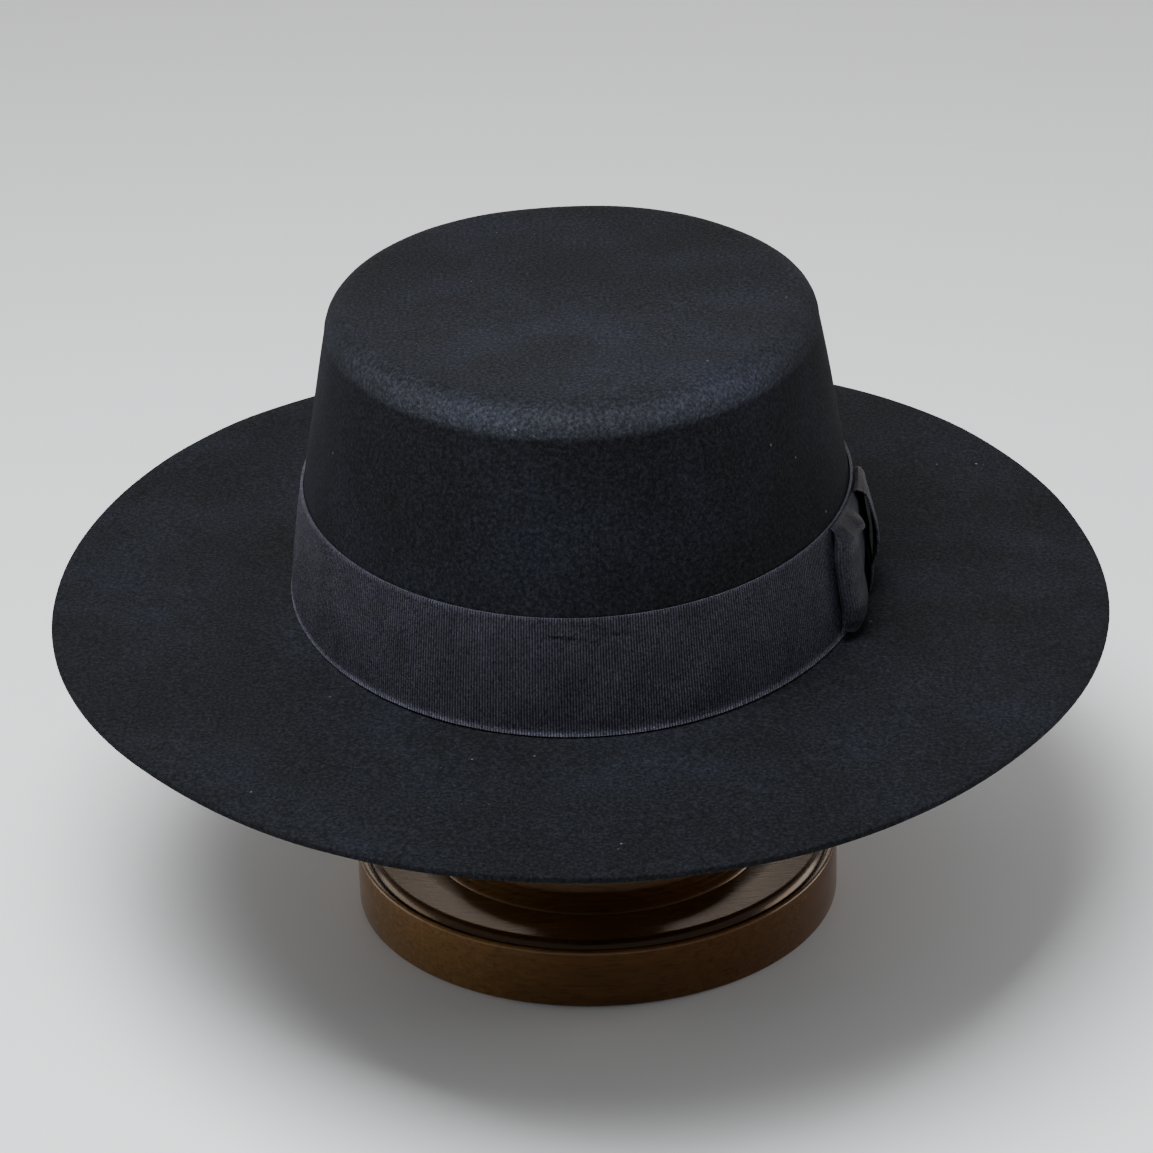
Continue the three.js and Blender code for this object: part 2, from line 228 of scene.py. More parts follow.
brim_rings = []
for step in range(1, BRIM_STEPS):
    offset = BRIM + (BREAK - BRIM) * step / BRIM_STEPS
    brim_rings.append((wall_oval(0, offset), HAT_LEVEL))
break_rings = [(wall_oval(BREAK + up, BREAK + across), HAT_LEVEL + BREAK + up)
               for across, up in arc(BREAK, 270, 180, BREAK_STEPS)]
wall_rings = []
for step in range(1, WALL_STEPS + 1):
    height = BREAK + (WALL_HEIGHT - BREAK) * step / WALL_STEPS
    wall_rings.append((wall_oval(height), HAT_LEVEL + height))
edge_rings = []
for across, up in arc(TOP_EDGE, 0, 90, ARC_STEPS)[1:]:
    inset = TOP_EDGE - across
    oval = (TOP_HALF_WIDTH - inset, TOP_HALF_LENGTH - inset)
    edge_rings.append((oval, HAT_LEVEL + WALL_HEIGHT + up))
flat_width, flat_length = edge_rings[-1][0]
top_rings = [((flat_width * share, flat_length * share), CROWN_TOP) for share in TOP_SHARES]
edge_oval = wall_oval(0, BRIM)
felt_hat = start_ring("felt_hat", FELT_POINTS, edge_oval, HAT_LEVEL)
pull_rings((edge_oval, HAT_LEVEL), brim_rings + break_rings + wall_rings + edge_rings + top_rings)
bpy.ops.mesh.edge_face_add()
bpy.ops.mesh.poke()
bpy.ops.mesh.select_all(action="SELECT")
bpy.ops.mesh.normals_make_consistent(inside=False)
bpy.ops.object.mode_set(mode="OBJECT")
print("felt skin has", len(felt_hat.data.polygons), "faces")

# %% [markdown]
# ## Life in the felt
# The brim of the real hat sways by a few millimetres: it dips towards the brow, turns up a
# little at its very middle and lifts at the back. Low swellings in the felt come from the steam
# and the hand. A sculpt brush could do this. A sum of waves round the brim does it by a rule,
# and a cloud texture in a Displace modifier does the swellings.

# %% Sway of the brim and hand-blocked unevenness
BRIM_SWAY = (
    {"waves": 0, "cosine": -0.036, "sine": 0.0},
    {"waves": 1, "cosine": -0.018, "sine": 0.024},
    {"waves": 2, "cosine": -0.02, "sine": 0.0},
    {"waves": 4, "cosine": -0.019, "sine": 0.0},
)
BRIM_CURL = 1.5
BROW_LIFT = {"rise": 2.5 * MM, "place": -94, "spread": 45}
BRIM_PLANE = HAT_LEVEL + 0.1 * BREAK
PAST_EDGE = 1.05
BLOCKING = {"size": 45 * MM, "depth": 0.9 * MM}


def brim_sway(point):
    """Rise of the brim above the crown line, from the break to its edge."""
    x, y, z = point.co
    if z > BRIM_PLANE:
        return 0
    out = math.hypot(x / HEAD_HALF_WIDTH, y / HEAD_HALF_LENGTH)
    if out < 1:
        return 0
    beyond = math.hypot(x, y) * (1 - 1 / out)
    turn = math.atan2(y / (HEAD_HALF_LENGTH + beyond), x / (HEAD_HALF_WIDTH + beyond))
    share = min(PAST_EDGE, max(0, (beyond - BREAK) / (BRIM - BREAK)))
    rise = 0
    for wave in BRIM_SWAY:
        rise += wave["cosine"] * math.cos(wave["waves"] * turn)
        rise += wave["sine"] * math.sin(wave["waves"] * turn)
    away = math.acos(math.cos(turn - math.radians(BROW_LIFT["place"])))
    fade = min(1, away / math.radians(BROW_LIFT["spread"]))
    lift = BROW_LIFT["rise"] * math.cos(math.pi / 2 * fade) ** 2
    return (rise * BRIM + lift) * share**BRIM_CURL


push(felt_hat, "Z", brim_sway)

swellings = bpy.data.textures.new("hand_blocking", "CLOUDS")
swellings.noise_scale = BLOCKING["size"]
swellings.noise_depth = 1
apply_modifier(felt_hat, "DISPLACE", texture=swellings, texture_coords="LOCAL",
               strength=BLOCKING["depth"], mid_level=0.5, direction="NORMAL")
lowest = min(point.co.z for point in felt_hat.data.vertices)
print("lowest point of the brim is at", round(lowest / MM, 1), "mm")

# %% [markdown]
# ## The cut edge
# The brim has no binding: it ends in a raw cut, as thick as the felt. Solidify gives the skin
# its thickness, inwards from the outside that was drawn. Bevel then softens only the two sharp
# lines of the cut, as wear does, and leaves the rest alone because it works by angle.

# %% Thickness and the raw cut edge
CUT_ROUNDING = 0.5 * MM
CUT_ANGLE = 55
apply_modifier(felt_hat, "SOLIDIFY", thickness=FELT, offset=-1, use_even_offset=True)
apply_modifier(felt_hat, "BEVEL", width=CUT_ROUNDING, segments=3, limit_method="ANGLE",
               angle_limit=math.radians(CUT_ANGLE))
pick(felt_hat)
bpy.ops.object.shade_smooth()
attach(felt_hat, "root")
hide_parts("felt_body")
print("felt_hat", len(felt_hat.data.polygons), "faces")

# %% [markdown]
# ## The ribbon band
# The band is grosgrain: a ribbon whose thick weft threads make fine upright ribs. The ribs show
# in raking light, so they are real ridges here: the ring has two columns of points for each
# rib, and every second column is pressed in.
#
# Light and shade are painted on too: each ridge is painted lighter, each furrow between two
# threads gets painted shade, darker than its depth alone gives, and both woven selvedges get a
# painted highlight. A paint brush could mark that. Here each point keeps this painted light as
# a number in an attribute, which the ribbon's material later multiplies into its colour.

# %% Painted light and shade on each thread
# Painted light and shade: ridges and selvedges painted lighter as highlights, furrows painted dark
# as shade.
RIDGE_HIGHLIGHT = 1.65
FURROW_SHADE = 0.25
SELVEDGE_HIGHLIGHT = 2.6
FOOT_SELVEDGE_HIGHLIGHT = {"place": 0.06, "fade": 0.04}
HEAD_SELVEDGE_HIGHLIGHT = {"place": 0.975, "fade": 0.015, "strength": 0.4}


def paint_thread_light(piece, is_furrow, height, ridge_highlight=RIDGE_HIGHLIGHT, furrow_shade=FURROW_SHADE):
    """Keeps painted light on each point: lighter ridges, furrows painted dark as shade, and both
    selvedges lighter as a painted highlight.
    """
    painted_light_attribute = piece.data.attributes.new("painted_light", "FLOAT", "POINT")
    for point, painted_light in zip(piece.data.vertices, painted_light_attribute.data):
        share = height(point)
        at_foot = smoothstep((FOOT_SELVEDGE_HIGHLIGHT["place"] - share) / FOOT_SELVEDGE_HIGHLIGHT["fade"])
        at_head = smoothstep((share - HEAD_SELVEDGE_HIGHLIGHT["place"]) / HEAD_SELVEDGE_HIGHLIGHT["fade"])
        selvedge_highlight_mask = max(at_foot, HEAD_SELVEDGE_HIGHLIGHT["strength"] * at_head)
        tone = furrow_shade if is_furrow(point) else ridge_highlight
        painted_light.value = tone * (1 + (SELVEDGE_HIGHLIGHT - 1) * selvedge_highlight_mask)


# %% Pull the band up the wall and press its ribs
RIBS = 636
RIB_DEPTH = 0.2 * MM
RIB_CREASE = 24
RIBBON = 0.75 * MM
RIBBON_STAND = 1.25 * MM
band_foot = band_low[2] - HAT_LEVEL
band_height = band_high[2] - band_low[2]


def band_oval(share):
    """Outside of the ribbon at a share of its height, standing off the hollow of the break."""
    height = band_foot + share * band_height
    below = max(0, BREAK - height)
    swell = BREAK - math.sqrt(BREAK**2 - below**2)
    return wall_oval(height, RIBBON_STAND + swell), HAT_LEVEL + height


BAND_SHARES = (0.0, 0.02, 0.035, 0.05, 0.08, 0.15, 0.25, 0.35, 0.45, 0.55, 0.65, 0.73,
               0.78, 0.81, 0.835, 0.86, 0.89, 0.93, 0.965, 0.985, 1.0)
band_rings = [band_oval(share) for share in BAND_SHARES]
ribbon_band = start_ring("ribbon_band_ribbed", 2 * RIBS, *band_rings[0])
pull_rings(band_rings[0], band_rings[1:])
bpy.ops.mesh.select_all(action="SELECT")
bpy.ops.mesh.normals_make_consistent(inside=False)
bpy.ops.object.mode_set(mode="OBJECT")


def band_furrow(point):
    """True for every second column of points round the band."""
    return point.index % (2 * RIBS) % 2


def band_share(point):
    """Height of a point as a share of the band's height."""
    return (point.co.z - band_low[2]) / band_height


# The band's ribs get their painted light and shade.
paint_thread_light(ribbon_band, band_furrow, band_share)
choose(ribbon_band, band_furrow)
bpy.ops.transform.shrink_fatten(value=-RIB_DEPTH)
bpy.ops.object.mode_set(mode="OBJECT")
print("band has", RIBS, "ribs,", len(ribbon_band.data.polygons), "faces")

# %% [markdown]
# ## Slack in the band
# The real band isn't glued down. Near the brow it lies a little loose, in faint slanting
# ripples with two short puckers under its upper edge. Cloth simulation could find such folds by
# itself, but not in these places, so each is a small push along the normal.

# %% Slack and small puckers in the band
SLACK = {"depth": 0.3 * MM, "place": 0.12, "reach": 0.35, "ripples": 26, "slant": 5}
PUCKER_SLANT = 0.2
PUCKERS = (
    {"turn": -0.05, "share": 0.84, "wide": 0.06, "tall": 0.026, "depth": 0.4 * MM},
    {"turn": 0.085, "share": 0.86, "wide": 0.045, "tall": 0.024, "depth": 0.35 * MM},
)


def band_slack(point):
    """The ribbon lies a little loose near the brow: slanting ripples and two short puckers."""
    turn = math.atan2(point.co.y, point.co.x) + math.pi / 2
    share = band_share(point)
    reach = math.exp(-((turn - SLACK["place"]) / SLACK["reach"]) ** 2)
    ripple = math.sin(SLACK["ripples"] * turn - SLACK["slant"] * share) * math.sin(math.pi * share)
    rise = SLACK["depth"] * reach * ripple
    for pucker in PUCKERS:
        across = (turn - pucker["turn"]) / pucker["wide"]
        up = (share - pucker["share"] + PUCKER_SLANT * (turn - pucker["turn"])) / pucker["tall"]
        rise += pucker["depth"] * math.exp(-across**2) * up * math.exp(0.5 - up**2)
    return rise


push(ribbon_band, "NORMAL", band_slack)
apply_modifier(ribbon_band, "SOLIDIFY", thickness=RIBBON, offset=-1)
pick(ribbon_band)
bpy.ops.object.shade_smooth_by_angle(angle=math.radians(RIB_CREASE))
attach(ribbon_band, "root")
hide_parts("ribbon_band")
print("ribbon_band_ribbed", len(ribbon_band.data.polygons), "faces")

# %% [markdown]
# ## The bow, folded flat first
# A milliner folds the bow on the table and sews it on last. Here it is the same: each ribbon is
# a ribbed strip that a Curve modifier lays along its folds, in a flat frame where X is the
# distance off the band, Y runs along the band and Z is the height, from the middle of the
# ribbon. A second Curve modifier wraps the folded pieces round the crown. Folding them on the
# round crown at once would need every fold worked out twice, so flat comes first.


# %% A ribbed strip laid along a path
RIB_PITCH = 0.92 * MM
BOW_RIBBON = 0.6 * MM
BOW_RIB_DEPTH = 0.08 * MM
# Painted highlight on the bow's ridges and painted shade in its furrows.
BOW_RIDGE_HIGHLIGHT = 1.35
BOW_FURROW_SHADE = 0.6


def draw_path(name, points, closed=False):
    """A smooth flat path through points given in millimetres."""
    curve = bpy.data.curves.new(name, "CURVE")
    curve.dimensions = "2D"
    curve.use_deform_bounds = False
    curve.resolution_u = 24
    spline = curve.splines.new("BEZIER")
    spline.bezier_points.add(len(points) - 1)
    for knot, (x, y) in zip(spline.bezier_points, points):
        knot.co = (x * MM, y * MM, 0)
        knot.handle_left_type = "AUTO"
        knot.handle_right_type = "AUTO"
    spline.use_cyclic_u = closed
    path = bpy.data.objects.new(name, curve)
    bpy.context.collection.objects.link(path)
    return path, spline.calc_length()


def ribbed_strip(name, points, width, rows, closed=False):
    """A strip of ribbon standing on edge along a path, with its ribs as real ridges."""
    path, length = draw_path(name + "_path", points, closed)
    columns = 2 * round(length / RIB_PITCH)

    def strip_furrow(point):
        return point.index % (columns + 1) % 2

    def strip_share(point):
        return point.co.z / width + 0.5

    deselect()
    bpy.ops.mesh.primitive_grid_add(x_subdivisions=columns, y_subdivisions=rows, size=1,
                                    location=(length / 2, 0, 0), rotation=(math.pi / 2, 0, 0))
    strip = name_new(name)
    bpy.ops.transform.resize(value=(length, 1, width))
    bpy.ops.object.transform_apply(location=True, rotation=True, scale=True)
    # Painted light and shade on the strip's ridges, furrows and selvedges.
    paint_thread_light(strip, strip_furrow, strip_share, BOW_RIDGE_HIGHLIGHT, BOW_FURROW_SHADE)
    choose(strip, strip_furrow)
    bpy.ops.transform.translate(value=(0, BOW_RIB_DEPTH, 0))
    apply_modifier(strip, "CURVE", object=path, deform_axis="POS_X")
    bpy.data.objects.remove(path)
    print(name, "is", round(length / MM, 1), "mm of ribbon,", len(strip.data.polygons), "faces")
    return strip


# %% [markdown]
# ## The front loop
# The loop runs from the knot towards the brow, turns over and comes back. Its upper edge is
# pressed onto the band, its foot is drawn in, and a small ear of slack stands out near the top.
# Three pushes do this, one along each axis. A proportional edit by hand would look the same.

# %% Front loop: path, tuck and pinch
RIBBON_WIDTH = band_height
LOOP_PATH = (
    (1.0, -6.0), (1.0, -12.0), (1.0, -19.0), (0.6, -28.0), (0.5, -38.0), (0.7, -46.0), (1.3, -49.3),
    (2.9, -51.2), (4.8, -50.0), (6.2, -46.0), (5.9, -41.5), (4.7, -36.5), (2.7, -31.0), (2.1, -25.5),
    (1.65, -20.0), (1.65, -14.0), (2.4, -8.0),
)
LOOP_ROWS = 28
STAND_BY_HEIGHT = (
    (0.0, 0.28), (0.05, 0.52), (0.14, 0.82), (0.28, 1.0), (0.5, 0.9), (0.65, 0.88),
    (0.78, 0.95), (0.88, 0.9), (0.95, 0.5), (1.0, 0.0),
)
LOOP_FACE = 0.6 * MM
EAR = {"place": -33, "height": 0.87, "reach": 4.0, "tall": 0.07, "out": 2.8, "face": 1.6 * MM}
HEAD_CORNER = {"back": 4.0 * MM, "place": -41 * MM, "fade": 9 * MM, "height": 0.72}
FOOT_CORNER = {"rise": 2.7 * MM, "place": -43 * MM, "fade": 8 * MM, "height": 0.4}
GATHER = {"start": -40, "full": -20, "share": 0.36}

bow_loop = ribbed_strip("bow_loop_ribbed", LOOP_PATH, RIBBON_WIDTH, LOOP_ROWS)


def loop_height(point):
    """Height of a point as a share of the ribbon's width, before the bow is put on the hat."""
    return point.co.z / RIBBON_WIDTH + 0.5


def between(table, value):
    """Reads a short table of (place, amount) with soft steps between its rows."""
    for (start, first), (end, last) in zip(table, table[1:]):
        if value <= end:
            return first + (last - first) * smoothstep((value - start) / (end - start))
    return table[-1][1]


def tuck(point):
    """The loop's upper edge closes onto the band and its foot draws in, with a small ear."""
    stand = max(0, point.co.x - LOOP_FACE)
    height = loop_height(point)
    off = (point.co.y / MM - EAR["place"]) / EAR["reach"]
    ear = math.exp(-off**2 - ((height - EAR["height"]) / EAR["tall"]) ** 2) * EAR["out"] * MM
    outer = smoothstep((point.co.x - EAR["face"]) / MM)
    return stand * (between(STAND_BY_HEIGHT, height) - 1) + ear * outer


def round_fold(point):
    """The fold's upper corner is pulled back a little."""
    at_fold = smoothstep((HEAD_CORNER["place"] - point.co.y) / HEAD_CORNER["fade"])
    above = (loop_height(point) - HEAD_CORNER["height"]) / (1 - HEAD_CORNER["height"])
    return HEAD_CORNER["back"] * at_fold * smoothstep(above)


def gather(point):
    """The fold's lower corner is rounded, and the knot gathers the ribbon up from its foot."""
    height = loop_height(point)
    at_fold = smoothstep((FOOT_CORNER["place"] - point.co.y) / FOOT_CORNER["fade"])
    at_knot = smoothstep((point.co.y / MM - GATHER["start"]) / (GATHER["full"] - GATHER["start"]))
    rise = FOOT_CORNER["rise"] * at_fold * max(0, 1 - height / FOOT_CORNER["height"])
    return rise + GATHER["share"] * RIBBON_WIDTH * at_knot * (1 - height)


push(bow_loop, "X", tuck)
push(bow_loop, "Z", gather)
push(bow_loop, "Y", round_fold)

# %% [markdown]
# ## The back tail
# Behind the knot the ribbon ends in one free tail. The photo hides it, so it is finished the
# plain way: short, nearly flat on the band and cut on the slant, which keeps ribbon from
# fraying. Bisect cuts it in one straight line and clears what lies past the cut.

# %% Back tail, cut on the slant
TAIL_PATH = ((1.7, -9.0), (1.5, -3.5), (1.3, 0.8), (1.9, 7.0), (2.2, 14.0), (1.6, 20.5))
TAIL_ROWS = 18
TAIL_CUT = {"through": (0, 2 * MM, 15.5 * MM), "facing": (0, 0.84, 0.54)}
TAIL_ROOT = {"narrowing": 0.1, "place": -3 * MM, "fade": 9 * MM}
bow_tail = ribbed_strip("bow_tail_ribbed", TAIL_PATH, RIBBON_WIDTH, TAIL_ROWS)
open_all(bow_tail)
bpy.ops.mesh.bisect(plane_co=TAIL_CUT["through"], plane_no=TAIL_CUT["facing"], clear_outer=True)
bpy.ops.object.mode_set(mode="OBJECT")


def narrow_root(point):
    """The tail is a little narrower where the knot holds it."""
    free = smoothstep((point.co.y - TAIL_ROOT["place"]) / TAIL_ROOT["fade"])
    return -point.co.z * TAIL_ROOT["narrowing"] * (1 - free)


push(bow_tail, "Z", narrow_root)
print("tail keeps", len(bow_tail.data.polygons), "faces after the cut")

# %% [markdown]
# ## The knot
# The knot is the same ribbon wrapped upright round the middle of the bow. Its path is a closed
# round-cornered loop that is drawn lying down and then stood up. The front of the wrap swells
# out a little and stands open towards the brow, as it does on the real bow. A squashed tube
# would be simpler, but it wouldn't have the ribbon's ribs running round it.

# %% Wrap and stand up the knot
KNOT_WIDTH = 18 * MM
KNOT_PLACE = -10 * MM
KNOT_ROWS = 14
KNOT_PATH = (
    (0.4, 4.0), (0.4, 17.0), (0.4, 31.0), (0.7, 33.5), (1.5, 34.4), (2.5, 33.5), (3.0, 30.0),
    (3.3, 22.0), (3.3, 15.0), (2.9, 10.0), (2.3, 6.0), (1.6, 2.9), (1.0, 1.8), (0.5, 2.3),
)
KNOT_EDGE = (
    (0.1, 0.0), (0.28, 0.0), (0.35, 0.9), (0.42, 1.8), (0.52, 2.6), (0.65, 2.7), (0.85, 2.2),
    (1.0, 1.6),
)
KNOT_OUTSIDE = {"place": 0.9 * MM, "fade": 1.8 * MM}
SEAM_MERGE = 0.02 * MM
bow_knot = ribbed_strip("bow_knot_ribbed", KNOT_PATH, KNOT_WIDTH, KNOT_ROWS, closed=True)
open_all(bow_knot)
bpy.ops.mesh.remove_doubles(threshold=SEAM_MERGE)
bpy.ops.mesh.normals_make_consistent(inside=False)
bpy.ops.object.mode_set(mode="OBJECT")
bow_knot.rotation_euler = (math.pi / 2, 0, 0)
bow_knot.location = (0, KNOT_PLACE, -RIBBON_WIDTH / 2 - band_foot)
bpy.ops.object.transform_apply(location=True, rotation=True, scale=True)


def knot_open(point):
    """The front edge of the wrap stands open at mid height and is drawn in at its foot."""
    towards_brow = smoothstep((KNOT_PLACE + KNOT_WIDTH / 2 - point.co.y) / KNOT_WIDTH)
    outer = smoothstep((point.co.x - KNOT_OUTSIDE["place"]) / KNOT_OUTSIDE["fade"])
    return outer * towards_brow * between(KNOT_EDGE, loop_height(point)) * MM


push(bow_knot, "X", knot_open)
print("knot has", len(bow_knot.data.polygons), "faces")

# %% [markdown]
# ## Shade in the folds
# Little light reaches the inside of the wrap, and thick threads shade each other where a fold
# looks straight up. A texture painted dark there could show it, but the ribbon already keeps
# one number per point, so its thread value is lowered in those places.

# %% Shade in the folds
TOP_SHADE = 0.6
HOLLOW = 0.08
KNOT_FRONT = -19.5 * MM
TUCK_START = 4 * MM
TUCK_FADE = 6 * MM


def shade_folds(piece):
    """Darkens the folds that look up, and all that lies deep inside the wrap."""
    painted_light_attribute = piece.data.attributes["painted_light"].data
    half = len(painted_light_attribute) // 2
    for point in piece.data.vertices:
        shade = 1 - TOP_SHADE * max(0, point.normal.z)
        faces_in = piece != bow_knot or point.index >= half
        if faces_in and point.co.y > KNOT_FRONT:
            daylight = smoothstep((point.co.y - TUCK_START) / TUCK_FADE)
            shade *= HOLLOW + (1 - HOLLOW) * daylight
        painted_light_attribute[point.index].value *= shade

# %% [markdown]
# ## Onto the crown
# The folded pieces lean in with the wall, turn to run along the crown's side and follow it
# round. Shrinkwrap would press them flat on the wall, but a Curve modifier keeps each fold as far
# off it as it was made. Thickness comes last, so that it is even in every fold.

# %% Wrap the bow round the crown and give it thickness
SIDE_START = -60
SIDE_STEP = 5
SIDE_POINTS = 25
wall_lean = HEAD_HALF_WIDTH - TOP_HALF_WIDTH


def lean(point):
    """How far the crown's wall has gone in at a point's height."""
    height = max(0, point.co.z + RIBBON_WIDTH / 2 + band_foot)
    return -wall_lean * (height / WALL_HEIGHT) ** WALL_BULGE


def side_path(stand):
    """The band's face at the wearer's left, as a path from the brow side to the nape side."""
    half_width, half_length = wall_oval(0, stand)
    points = []
    for step in range(SIDE_POINTS):
        turn = math.radians(SIDE_START + SIDE_STEP * step)
        x = half_width * math.cos(turn) * (1 + BROW_NARROWING * math.sin(turn))
        points.append((x / MM, half_length * math.sin(turn) / MM))
    start = 0
    for (x0, y0), (x1, y1) in zip(points, points[1:]):
        if y1 > 0:
            start += math.hypot(x1 - x0, y1 - y0) * (0 - y0) / (y1 - y0)
            break
        start += math.hypot(x1 - x0, y1 - y0)
    return points, start * MM


wrap_points, wrap_start = side_path(RIBBON_STAND)
for piece in (bow_loop, bow_tail, bow_knot):
    push(piece, "X", lean)
    pick(piece)
    piece.rotation_euler = (0, 0, -math.pi / 2)
    piece.location = (wrap_start, 0, 0)
    bpy.ops.object.transform_apply(location=True, rotation=True, scale=True)
    path = draw_path("crown_side", wrap_points)[0]
    apply_modifier(piece, "CURVE", object=path, deform_axis="POS_X")
    bpy.data.objects.remove(path)
    open_all(piece)
    bpy.ops.transform.translate(value=(0, 0, band_low[2] + RIBBON_WIDTH / 2))
    bpy.ops.object.mode_set(mode="OBJECT")
    apply_modifier(piece, "SOLIDIFY", thickness=BOW_RIBBON, offset=0)
    shade_folds(piece)
    pick(piece)
    bpy.ops.object.shade_smooth_by_angle(angle=math.radians(RIB_CREASE))
    print(piece.name, len(piece.data.polygons), "faces on the crown")
    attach(piece, "root")
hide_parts("bow_front_loop")
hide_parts("bow_back_tail")
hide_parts("bow_knot")

# %% [markdown]
# ## The turned stand
# Wood turned on a lathe is a profile spun round an axis, so each wooden piece is one line of
# points that Spin turns into a solid. Fine steps are left where the chisel stopped. A Screw
# modifier would do the same, but Spin shows each step of the turning.

# %% Spin a profile
SPIN_STEPS = 128
AXIS_MERGE = 0.01 * MM
WOOD_CREASE = 32
STAND_X = (base_low[0] + base_high[0]) / 2


def turn_wood(name, profile, node):
    """Spins a profile of (radius, height) in millimetres that starts and ends on the axis."""
    deselect()
    bpy.ops.mesh.primitive_plane_add(size=1)
    piece = name_new(name)
    open_all(piece)
    bpy.ops.mesh.merge(type="CENTER")
    radius, height = profile[0]
    bpy.ops.transform.translate(value=(radius * MM, 0, height * MM))
    for (r0, h0), (r1, h1) in zip(profile, profile[1:]):
        bpy.ops.mesh.extrude_region()
        bpy.ops.transform.translate(value=((r1 - r0) * MM, 0, (h1 - h0) * MM))
    bpy.ops.mesh.select_all(action="SELECT")
    bpy.ops.mesh.spin(steps=SPIN_STEPS, angle=2 * math.pi, center=(0, 0, 0), axis=(0, 0, 1))
    bpy.ops.mesh.select_all(action="SELECT")
    bpy.ops.mesh.remove_doubles(threshold=AXIS_MERGE)
    bpy.ops.mesh.normals_make_consistent(inside=False)
    bpy.ops.transform.translate(value=(STAND_X, 0, 0))
    bpy.ops.object.mode_set(mode="OBJECT")
    bpy.ops.object.shade_smooth_by_angle(angle=math.radians(WOOD_CREASE))
    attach(piece, "root")
    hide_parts(node)
    print(name, len(piece.data.polygons), "faces")
    return piece


def round_corner(radius, height, corner, start, end, steps=4):
    """Points of a rounded corner whose arc centre is (radius, height)."""
    return [(radius + across, height + up) for across, up in arc(corner, start, end, steps)]


def inward(edge, level, steps):
    """Points of a profile, each so far in from an edge and so far above a level."""
    return [(edge - across, level + up) for across, up in steps]


# %% [markdown]
# ## The base
# The base is a heavy disc. A fine groove runs round near its edge. The shoulder inside it falls
# by almost two millimetres towards the collar, so it mirrors the light behind it. It could be
# cut by eye, but a turner works to a template, and the steps below are one: each is so far in
# from the edge and so far above the rim.

# %% Base with rim, groove and shoulder
BASE = (base_high[0] - base_low[0]) / 2 / MM
RIM = 19.5
RIM_WALL = (6, 12)
CORNER = 1.2
FOOT_STEP = 0.2
FOOT_RECESS = ((6, 0), (5.6, FOOT_STEP), (CORNER, FOOT_STEP))
GROOVE = ((1.7, -0.3), (2.1, -0.9), (2.5, -0.7), (2.9, 0), (3.3, 0.65), (3.8, 1.2), (4.2, 1.5))
SHOULDER = ((4.6, 1.6), (5.1, 1.55), (7, 1.36), (15, 0.52))
foot = [(0, 0)] + inward(BASE, 0, FOOT_RECESS)
foot += round_corner(BASE - CORNER, FOOT_STEP + CORNER, CORNER, -90, 0)
rim = [(BASE, height) for height in RIM_WALL]
rim += round_corner(BASE - CORNER, RIM - CORNER, CORNER, 0, 70)
shoulder = inward(BASE, RIM, GROOVE + SHOULDER)
print("base profile has", len(foot + rim + shoulder), "points up to its shoulder")

# %% Collar with three fine lines, and the neck
COLLAR = 53.5
COLLAR_FOOT = RIM - 0.1
COLLAR_EDGE = ((-0.6, 0), (0, 0.1), (0.4, 0.8), (1.2, 1.3))
LINES = ((2.2, 1.7), (4.0, 2.5), (5.9, 3.6))
LINE_DEPTH = 0.2
LINE_FRONT = 0.2
LINE_BACK = 0.3
COLLAR_HEIGHT = 8.4
COLLAR_HEAD = ((6.8, 4.7), (7.4, 8.0), (8.4, COLLAR_HEIGHT))
NECK_FOOT = COLLAR - 10
NECK_TOP = base_high[2] / MM
NECK_SHARES = (0.15, 0.3, 0.45, 0.6, 0.7, 0.8, 0.88, 0.95, 1.0)
NECK_CURVE = 2.6
POST = (post_high[0] - post_low[0]) / 2 / MM
TENON = 8
GAP = 0.3
SOCKET = TENON + GAP
SOCKET_DEPTH = 14
collar = inward(COLLAR, COLLAR_FOOT, COLLAR_EDGE)
for across, up in LINES:
    radius, height = COLLAR - across, COLLAR_FOOT + up
    collar.append((radius + LINE_FRONT, height))
    collar.append((radius, height - LINE_DEPTH))
    collar.append((radius - LINE_BACK, height + LINE_DEPTH))
collar += inward(COLLAR, COLLAR_FOOT, COLLAR_HEAD)
neck_start = COLLAR_FOOT + COLLAR_HEIGHT
neck = []
for share in NECK_SHARES:
    radius = NECK_FOOT + (POST - NECK_FOOT) * share
    neck.append((radius, neck_start + (NECK_TOP - neck_start) * share**NECK_CURVE))
socket = [(SOCKET, NECK_TOP), (SOCKET, NECK_TOP - SOCKET_DEPTH), (0, NECK_TOP - SOCKET_DEPTH)]
base_profile = foot + rim + shoulder + collar + neck + socket
turned_base = turn_wood("turned_base", base_profile, "stand_base")

# %% [markdown]
# ## Post and rest
# The post is a plain round rod with a tenon at each end, which sits in a socket of the base and
# of the rest. The rest is a rounded pad that fills the crown from inside and carries it. The
# photo shows neither, so both are the usual shape for such a stand. They could be one piece,
# but a lathe turns a long rod and a wide pad from different blocks.

# %% Post
POST_FOOT = NECK_TOP + GAP
POST_HEAD = rest_low[2] / MM - GAP
POST_LOW = post_low[2] / MM
POST_HIGH = post_high[2] / MM
CHAMFER = 0.6
POST_RINGS = (80, 110, 140)
post_profile = [(0, POST_LOW), (TENON, POST_LOW), (TENON, POST_FOOT), (POST - CHAMFER, POST_FOOT)]
post_profile.append((POST, POST_FOOT + CHAMFER))
post_profile += [(POST, height) for height in POST_RINGS]
post_profile.append((POST, POST_HEAD - CHAMFER))
post_profile += [(POST - CHAMFER, POST_HEAD), (TENON, POST_HEAD), (TENON, POST_HIGH), (0, POST_HIGH)]
turned_post = turn_wood("turned_post", post_profile, "stand_post")

